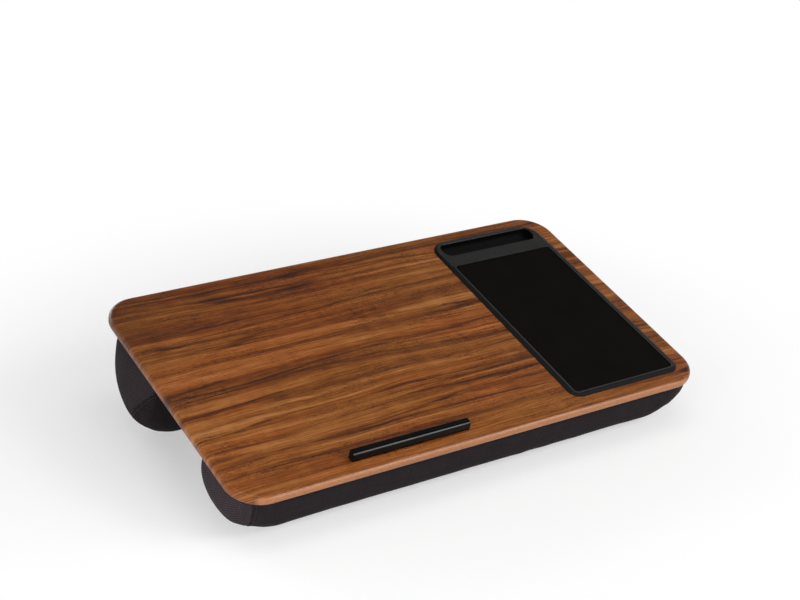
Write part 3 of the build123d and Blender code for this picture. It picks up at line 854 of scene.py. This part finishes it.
def skin(form, stations, top_count, side_count):
    """The whole skin in board millimetres: points, faces and the flat cloth's coordinates."""
    count = 2 * (top_count + side_count)
    points, wrap, panel, flat = [], [], [], []
    for x in stations:
        loop = ring(form, x, top_count, side_count)
        points.append(in_board(form, x, loop))
        closed = np.concatenate([loop, loop[:1]])
        around = path_length(closed)
        wrap.append(np.stack([np.full(count + 1, x), around - around[-1] / 2], axis=1))
        spoke = closed - bulge_middle(form, x)
        reach = np.linalg.norm(spoke, axis=1, keepdims=True)
        panel.append(bulge_middle(form, x) + spoke / reach * (reach + max(0.0, END_X - abs(x))))
    for i in range(len(stations) - 1):
        cloth = wrap if abs(stations[i] + stations[i + 1]) / 2 < SEAM_X else panel
        for j in range(count):
            flat += [cloth[i][j], cloth[i][j + 1], cloth[i + 1][j + 1], cloth[i + 1][j]]
    points = np.concatenate(points)
    faces = ring_faces(len(stations), count)
    for side, base in ((-1, 0), (1, (len(stations) - 1) * count)):
        place, laid = end_panel(form, side, top_count, side_count)
        hoop = base + np.arange(count)
        inner = len(points) + np.arange(len(laid))
        points = np.concatenate([points, place])
        measured = dict(zip(hoop, ring(form, side * END_X, top_count, side_count)))
        measured.update(zip(inner, laid))
        index = np.full((side_count + 1, top_count + 1), -1)
        index[1:-1, 1:-1] = inner.reshape(side_count - 1, -1)
        index[0], index[:, -1], index[-1], index[:, 0] = loop_sides(hoop, top_count, side_count)
        for r in range(side_count):
            for c in range(top_count):
                quad = (index[r, c], index[r, c + 1], index[r + 1, c + 1], index[r + 1, c])[::side]
                faces.append(quad)
                flat += [measured[i] for i in quad]
    return points, [f[::-1] for f in faces], np.array(flat).reshape(-1, 4, 2)[:, ::-1].reshape(-1, 2)


print("a skin with finer rings round the seams")

# %% [markdown]
# ## Stuffing the bolsters
#
# The cover starts 2 mm smaller all round, pinned where it is sewn to the base cloth, and is blown up
# against its own seams by the cloth simulation, which draws it tight at the ends and lets it swell
# between them. The swelling is then held to less than a millimetre, as real fibre fill holds it, and
# laid over the fitted form.

# %% Cloth simulation
FRAMES = 20
START_INSET = 2.0
CLOTH = {"quality": 6, "mass": 0.25, "tension_stiffness": 12.0, "compression_stiffness": 12.0,
         "shear_stiffness": 6.0, "bending_stiffness": 0.6, "use_pressure": True,
         "uniform_pressure_force": 4.0, "vertex_group_mass": "sewn", "vertex_group_shrink": "seam",
         "shrink_min": -0.02, "shrink_max": 0.06}


def onto_points(values, quads, count):
    """The sum at each of count points of a value that each face has."""
    total = np.zeros((count, *values.shape[1:]))
    for k in range(4):
        np.add.at(total, quads[:, k], values)
    return total


def normals_of(points, faces):
    """Unit normals at the points of a mesh of quads."""
    quads = np.array(faces)
    p = points[quads]
    total = onto_points(np.cross(p[:, 2] - p[:, 0], p[:, 3] - p[:, 1]), quads, len(points))
    return total / np.maximum(np.linalg.norm(total, axis=1, keepdims=True), 1e-9)


def stuffed(form, name):
    """Where the simulation moves a coarse skin: its resting points and each one's swelling in mm."""
    points, faces, _ = skin(form, stations(4.6), *grid_counts(form, 4.5))
    normals = normals_of(points, faces)
    start = points - normals * START_INSET
    start[:, 2] = np.minimum(start[:, 2], CLOTH_UNDERSIDE)
    start += normals * lumps(points, 9.0, 3 + form["y"] / 50)[:, None] * 0.4
    mesh = bpy.data.meshes.new(name)
    mesh.from_pydata([tuple(p) for p in to_row(start)], [], [tuple(int(i) for i in f) for f in faces])
    body = bpy.data.objects.new(name, mesh)
    scene.collection.objects.link(body)
    on_top = points[:, 2] > CLOTH_UNDERSIDE - 0.5
    at_seam = np.abs(np.abs(points[:, 0]) - SEAM_X) < 3.0
    for group, chosen in (("sewn", on_top), ("seam", at_seam)):
        body.vertex_groups.new(name=group).add([int(i) for i in np.flatnonzero(chosen)], 1.0, "REPLACE")
    cloth = body.modifiers.new("cloth", "CLOTH")
    for setting, value in CLOTH.items():
        setattr(cloth.settings, setting, value)
    cloth.settings.effector_weights.gravity = 0.0
    cloth.point_cache.frame_start = 1
    cloth.point_cache.frame_end = FRAMES
    for number in range(1, FRAMES + 1):
        scene.frame_set(number)
    blown = body.evaluated_get(bpy.context.evaluated_depsgraph_get()).to_mesh()
    place = np.array([v.co for v in blown.vertices])
    swelling = ((to_board(place) - points) * normals).sum(axis=1)
    print(f"{name}: {len(points)} points, swelling {swelling.min():.1f} to {swelling.max():.1f} mm, "
          f"median {np.median(swelling[~on_top]):.1f}")
    scene.frame_set(1)
    bpy.data.objects.remove(body)
    swelling[on_top] = 0.0
    return points, swelling


def carried(points, swelling, wanted):
    """The swelling at other points, from the simulated ones nearby."""
    tree = kdtree.KDTree(len(points))
    for i, p in enumerate(points):
        tree.insert(p, i)
    tree.balance()
    values = np.zeros(len(wanted))
    for i, p in enumerate(wanted):
        near = tree.find_n(p, 20)
        weights = [math.exp(-((distance / 8.0) ** 2)) + 1e-9 for _, _, distance in near]
        values[i] = sum(w * swelling[k] for w, (_, k, _) in zip(weights, near)) / sum(weights)
    return values


print(f"a cloth simulation over {FRAMES} frames")

# %% [markdown]
# ## Seams, dents and stitches
#
# These lie on a finer grid. Each end seam is drawn in, with a stitched line beside it and small
# gathers, and runs a little unevenly. The hem under the board is drawn in as well, and the end panels
# have soft dents. On the rear bolster's left end the seam is pulled slantwise across the lower front
# of the panel, with the cloth under it tucked in, and it fades as it nears the underside. Each
# stitched line has its stitches, made as single threads.

# %% Seams and dents
STITCH_LINE = 2.6
SLANT_START, SLANT_END = np.array([35.2, -24.0]), np.array([69.6, -75.7])
SLANT = (SLANT_END - SLANT_START) / np.linalg.norm(SLANT_END - SLANT_START)


def hump(off, middle, width):
    """1 where off is at middle, falling to 0 over about width on both sides."""
    return np.exp(-(((off - middle) / width) ** 2))


def around_middle(points, form):
    """Each point's angle round the bolster's middle, seen along the bolster."""
    return np.arctan2(points[:, 2] - CLOTH_UNDERSIDE + BULGE_HEIGHT * form["depth"], points[:, 1] - form["y"])


def seam_distance(points, form):
    """Distance in mm from the nearest end seam along the cloth: above 0 on the wrap, below on the panel."""
    lean = 0.08 * np.clip(-points[:, 2] - 14.0, 0, 30)
    wander = (0.55 if form is REAR else 1.0) * lumps(points * np.array([0.0, 1.0, 1.0]), 7.5, 12)
    inboard = SEAM_X - lean + wander - np.abs(points[:, 0])
    if form is not REAR:
        return inboard
    below = (points[:, 1:] - SLANT_START) @ np.array([SLANT[1], -SLANT[0]]) + 1.2 * wander
    return np.maximum(inboard, np.where(points[:, 0] < 0, below, -60.0))


def fading(points, form):
    """1 over most of the ends, less where the rear left seam runs out and on the front's right seam."""
    if form is not REAR:
        return np.where(points[:, 0] > 0, 0.45, 1.0)
    run = (points[:, 1:] - SLANT_START) @ SLANT
    return np.where(points[:, 0] < -SEAM_X - 3.0, np.clip((62.0 - run) / 16.0, 0.12, 1), 1.0)


def seam_relief(points, form):
    """Height in mm of the end seams: the join, a soft welt beside it, a stitched line, and gathers."""
    off = seam_distance(points, form)
    along = np.column_stack([around_middle(points, form) * form["half_width"], points[:, 0] * 0.10,
                             np.zeros(len(points))])
    uneven, fine = lumps(along, 9.0, 4), lumps(along, 4.2, 9)
    join = -1.05 * hump(off, 0.0, 0.7) + 0.15 * hump(off, -1.8, 1.2)
    stitched = 0.40 * hump(off, 1.2, 0.7) - 0.45 * hump(off, STITCH_LINE, 0.7)
    gathers = (0.28 * uneven + 0.36 * fine) * np.exp(-np.abs(off - 1.2) / np.where(off > 0, 4.0, 2.5))
    return ((join + stitched) * (1.0 + 0.4 * fine) + gathers) * fading(points, form)


def hem_relief(points):
    """Height in mm of the drawn-in line where the cover meets the base cloth, with faint gathers."""
    below = CLOTH_UNDERSIDE - points[:, 2]
    uneven = lumps(np.column_stack([points[:, 0], points[:, 1] * 0.6, np.zeros(len(points))]), 12.0, 6)
    return -1.0 * hump(below, 0.0, 2.0) + 0.5 * uneven * np.exp(-below / 8.0)


def end_relief(points, normals, form, seed):
    """Height in mm of the soft dents in an end panel, and of the tuck under the rear one's seam."""
    facing = np.clip((np.abs(normals[:, 0]) - 0.4) / 0.4, 0, 1)
    dents = 0.5 * lumps(points, 17.0, seed) + 0.25 * lumps(points, 9.0, seed + 5)
    below = seam_distance(points, form)
    tuck = np.clip(below / 5.0, 0, 1) * np.clip((22.0 - below) / 12.0, 0, 1)
    return facing * (dents * (1.6 if form is REAR else 0.5) - 1.2 * tuck) * fading(points, form)


print("seams, hem and dents")

# %% Stitches
STITCH_PITCH = 3.3
STITCH_PLACES = np.array([0.0, 0.6, 1.2, 1.8, 2.4])
STITCH_LIFT = np.array([-0.15, 0.22, 0.30, 0.22, -0.15])[:, None]
THREAD_RADIUS = 0.24
THREAD_SIDES = 6


def stitched_places(points, faces, off):
    """Where the stitched lines cross the skin's edges."""
    edges = np.array(sorted({tuple(sorted((f[k], f[(k + 1) % 4]))) for f in faces for k in range(4)}))
    level = off - STITCH_LINE
    a, b = edges.T
    crossed = (level[a] * level[b] < 0) & (points[a, 2] < CLOTH_UNDERSIDE - 2.0)
    a, b = a[crossed], b[crossed]
    share = (level[a] / (level[a] - level[b]))[:, None]
    return points[a] * (1 - share) + points[b] * share


def stitches(name, form, points, faces, off):
    """The thread of the stitched line beside each end seam, as one short tube a stitch."""
    place = stitched_places(points, faces, off)
    verts, tubes = [], []
    for side in (-1, 1):
        line = place[np.sign(place[:, 0]) == side]
        line = line[np.argsort(np.mod(around_middle(line, form) - math.pi / 2, 2 * math.pi))]
        length = path_length(line)
        middle = np.array([side * 200.0, form["y"], CLOTH_UNDERSIDE - BULGE_HEIGHT * form["depth"]])
        for first in np.arange(1.0, length[-1] - 3.0, STITCH_PITCH):
            at = np.stack([np.interp(first + STITCH_PLACES, length, line[:, k]) for k in range(3)], axis=1)
            out = at - middle
            out /= np.linalg.norm(out, axis=1, keepdims=True)
            along = at[-1] - at[0]
            along /= max(np.linalg.norm(along), 1e-6)
            for closing in (ring_faces, end_faces):
                tubes += closing(len(at), THREAD_SIDES, len(verts))
            for p, o in zip(at + out * STITCH_LIFT, out):
                across = np.cross(along, o)
                for angle in (q * 2 * math.pi / THREAD_SIDES for q in range(THREAD_SIDES)):
                    verts.append(p + THREAD_RADIUS * (math.cos(angle) * o + math.sin(angle) * across))
    made = add_piece(name, np.array(verts), tubes, thread_paint)
    print(f"{name}: {len(verts) // (len(STITCH_PLACES) * THREAD_SIDES)} stitches")
    return made


print(f"a stitch every {STITCH_PITCH} mm")

# %% Covers
GROUND_FROM = 0.0006
GROUND_FALL = 0.0012


def eased(points, faces, rounds=45):
    """The skin with the corner between end panel and wrap rounded off."""
    quads = np.array(faces)
    total = onto_points(np.ones(len(quads)), quads, len(points))[:, None]
    share = np.clip((np.abs(points[:, :1]) - 245.0) / 6.0, 0, 1) * (points[:, 2:] < CLOTH_UNDERSIDE - 0.5)
    moved = points.copy()
    for _ in range(rounds):
        pull = onto_points(moved[quads].mean(axis=1), quads, len(points))
        moved = moved + share * 0.8 * (pull / total - moved)
    return moved


def swelling_at(points, form, name, cap):
    """The swelling in mm at each point, held to cap either way."""
    rest, swelling = stuffed(form, name + "_stuffing")
    level = np.median(swelling[rest[:, 2] < CLOTH_UNDERSIDE - 5]) if np.any(swelling) else 0.0
    return cap * np.tanh(carried(rest, swelling - level, points) / cap)


def cover_relief(points, normals, form, swelling, seed):
    """Height in mm over the fitted form: the swelling, low lumps, seams, hem and dents."""
    below = CLOTH_UNDERSIDE - points[:, 2]
    free = np.clip(below / 6.0, 0, 1)
    near_end = np.clip((np.abs(points[:, 0]) - 238.0) / 12.0, 0, 1)
    height = swelling * free * (1 - 0.8 * near_end)
    height += (0.55 + 0.65 * near_end) * free
    height += 0.28 * lumps(points, 60.0, seed) * free + 0.12 * lumps(points, 22.0, seed + 1) * free
    height += seam_relief(points, form) * np.clip(below, 0.15, 1)
    height += hem_relief(points)
    height += end_relief(points, normals, form, seed + 2) * free
    height[normals[:, 2] > 0.9] = 0.0
    return height


def bolster(name, form, cap, seed):
    """One bolster's finished cover as a single closed piece."""
    points, faces, flat = skin(form, stations(2.8, 0.75), *grid_counts(form, 1.5))
    points = eased(points, faces)
    normals = normals_of(points, faces)
    height = cover_relief(points, normals, form, swelling_at(points, form, name, cap), seed)
    shaped = points + normals * height[:, None]
    shaped[:, 2] = np.minimum(shaped[:, 2], CLOTH_UNDERSIDE)
    # The underside flattens where it stands.
    made = to_row(shaped)
    low = made[:, 2] < GROUND_FROM
    made[low, 2] = GROUND_FROM * np.exp((made[low, 2] - GROUND_FROM) / GROUND_FALL)
    shaped = to_board(made)
    piece = add_piece(name, shaped, faces, charcoal, flat)
    # The end panels take the copy of the cloth that is painted lighter, as painted light.
    piece.data.materials.append(charcoal_painted_light)
    off = seam_distance(points, form)
    piece.data.polygons.foreach_set("material_index", (off[np.array(faces)].mean(axis=1) < 0).astype(int))
    stitches(name.replace("cover", "stitches"), form, shaped, faces, off)
    print(f"{name}: {len(points)} points, relief {height.min():.1f} to {height.max():.1f} mm")
    return piece


front_cover = bolster("front_bolster_cover", FRONT, 0.6, 21)
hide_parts("front_bolster_wrap", "front_bolster_left_end", "front_bolster_right_end",
            "front_bolster_fill")
rear_cover = bolster("rear_bolster_cover", REAR, 0.9, 34)
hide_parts("rear_bolster_wrap", "rear_bolster_left_end", "rear_bolster_right_end",
            "rear_bolster_fill")

# %% [markdown]
# ## Mouse pad
#
# A die-cut sheet of foam rubber with a knit face. The face rolls over a little at the cut edge, and
# the foam shows only as a dark line in the gap round it.

# %% Mouse pad
PAD_X, PAD_LOW, PAD_HIGH = 180.0, -130.3, 91.2
PAD_HALF, PAD_CORNER = 62.95, 3.7
BASE_LEVELS = [(0.15, -0.70), (0.0, -0.55), (0.0, 0.85), (0.1, 1.0)]
FACE_LEVELS = [(0.1, 1.0), (0.0, 1.06), (0.04, 1.2), (0.14, 1.31), (0.32, 1.38), (0.6, 1.40), (3.0, 1.40),
               (14.0, 1.40)]


def rounded_outline(inset, steps=10):
    """The pad's outline, drawn in by inset, as (x, y)."""
    radius = max(PAD_CORNER - inset, 0.4)
    x_half = PAD_HALF - inset - radius
    y_low, y_high = PAD_LOW + inset + radius, PAD_HIGH - inset - radius
    centres = [(x_half, y_high, 0), (-x_half, y_high, 90), (-x_half, y_low, 180), (x_half, y_low, 270)]
    turns = [(cx, cy, math.radians(a)) for cx, cy, first in centres
             for a in np.linspace(first, first + 90, steps + 1)]
    return np.array([(PAD_X + cx + radius * math.cos(a), cy + radius * math.sin(a)) for cx, cy, a in turns])


def layered(name, levels, paint):
    """A flat piece from (inset, z) levels, first to last, closed below and above."""
    loops = [rounded_outline(inset) for inset, _ in levels]
    count = len(loops[0])
    points = [np.column_stack([loop, np.full(count, z)]) for loop, (_, z) in zip(loops, levels)]
    points = np.concatenate(points)
    faces = ring_faces(len(levels), count) + end_faces(len(levels), count)
    corner_points = np.array([points[i] for f in faces for i in f])
    return add_piece(name, points, faces, paint, corner_points[:, :2])


pad_base = layered("mouse_pad_base", BASE_LEVELS, foam)
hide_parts("mouse_pad_foam")
pad_face = layered("mouse_pad_face", FACE_LEVELS, pad_knit)
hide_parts("mouse_pad_cloth")
print("mouse pad: foam base and knit face")

# %% [markdown]
# ## Base cloth
#
# The cloth that covers the board's underside. It lies flat on the backing, is stapled along the rear
# and the sides, and pulls up slightly between the staples. A hole clears the phone slot.

# %% Base cloth
INSET = 6.0
SLOT_HOLE = (118.5, 241.5, 108.5, 132.5)
CLOTH_LENGTH, CLOTH_DEPTH = BOARD_LENGTH - 2 * INSET, BOARD_DEPTH - 2 * INSET
CLOTH_CORNER = BOARD_CORNER - INSET
STAPLES = [(-240.0 + 60 * k, 138.0) for k in range(9)]
STAPLES += [(s * 253.0, y) for s in (-1, 1) for y in (-38.0, 16.0)]


def inside_outline(x, y):
    """How far a point is inside the cloth's outline, in mm."""
    dx = abs(x) - (CLOTH_LENGTH / 2 - CLOTH_CORNER)
    dy = abs(y) - (CLOTH_DEPTH / 2 - CLOTH_CORNER)
    if dx > 0 and dy > 0:
        return CLOTH_CORNER - math.hypot(dx, dy)
    return CLOTH_CORNER - max(dx, dy)


def onto_outline(x, y):
    """A point just outside a round corner of the cloth, moved onto it."""
    cx = math.copysign(CLOTH_LENGTH / 2 - CLOTH_CORNER, x)
    cy = math.copysign(CLOTH_DEPTH / 2 - CLOTH_CORNER, y)
    share = CLOTH_CORNER / math.hypot(x - cx, y - cy)
    return cx + (x - cx) * share, cy + (y - cy) * share


def base_cloth():
    """A grid of cloth, fitted to its outline and cut out round the slot."""
    columns = np.linspace(-CLOTH_LENGTH / 2, CLOTH_LENGTH / 2, 132)
    rows = np.linspace(-CLOTH_DEPTH / 2, CLOTH_DEPTH / 2, 74)
    points, index = [], {}
    for i, x in enumerate(columns):
        for j, y in enumerate(rows):
            depth = inside_outline(x, y)
            if depth >= -3.0:
                index[i, j] = len(points)
                points.append((x, y) if depth >= 0 else onto_outline(x, y))
    faces = []
    for i in range(len(columns) - 1):
        for j in range(len(rows) - 1):
            quad = [(i, j), (i, j + 1), (i + 1, j + 1), (i + 1, j)]
            x, y = (columns[i] + columns[i + 1]) / 2, (rows[j] + rows[j + 1]) / 2
            in_hole = SLOT_HOLE[0] < x < SLOT_HOLE[1] and SLOT_HOLE[2] < y < SLOT_HOLE[3]
            if not in_hole and all(q in index for q in quad):
                faces.append(tuple(index[q] for q in quad))
    points = np.array(points)
    near = np.min([np.hypot(points[:, 0] - x, points[:, 1] - y) for x, y in STAPLES], axis=0)
    waves = lumps(np.column_stack([points, np.zeros(len(points))]), 26.0, 13)
    lift = 0.25 * (1 - np.exp(-((near / 9.0) ** 2))) * (1 + 0.8 * waves)
    return points, faces, lift


points, faces, lift = base_cloth()
under = np.column_stack([points, CLOTH_UNDERSIDE + 0.05 - 0.25 * lift])
corner_points = np.array([points[i] for f in faces for i in f])
base = add_piece("base_cloth_sheet", under, faces, charcoal, corner_points)
thick = base.modifiers.new("thickness", "SOLIDIFY")
thick.thickness = 0.0010
thick.offset = 1.0
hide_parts("base_cloth")
print(f"base cloth: {len(faces)} faces")
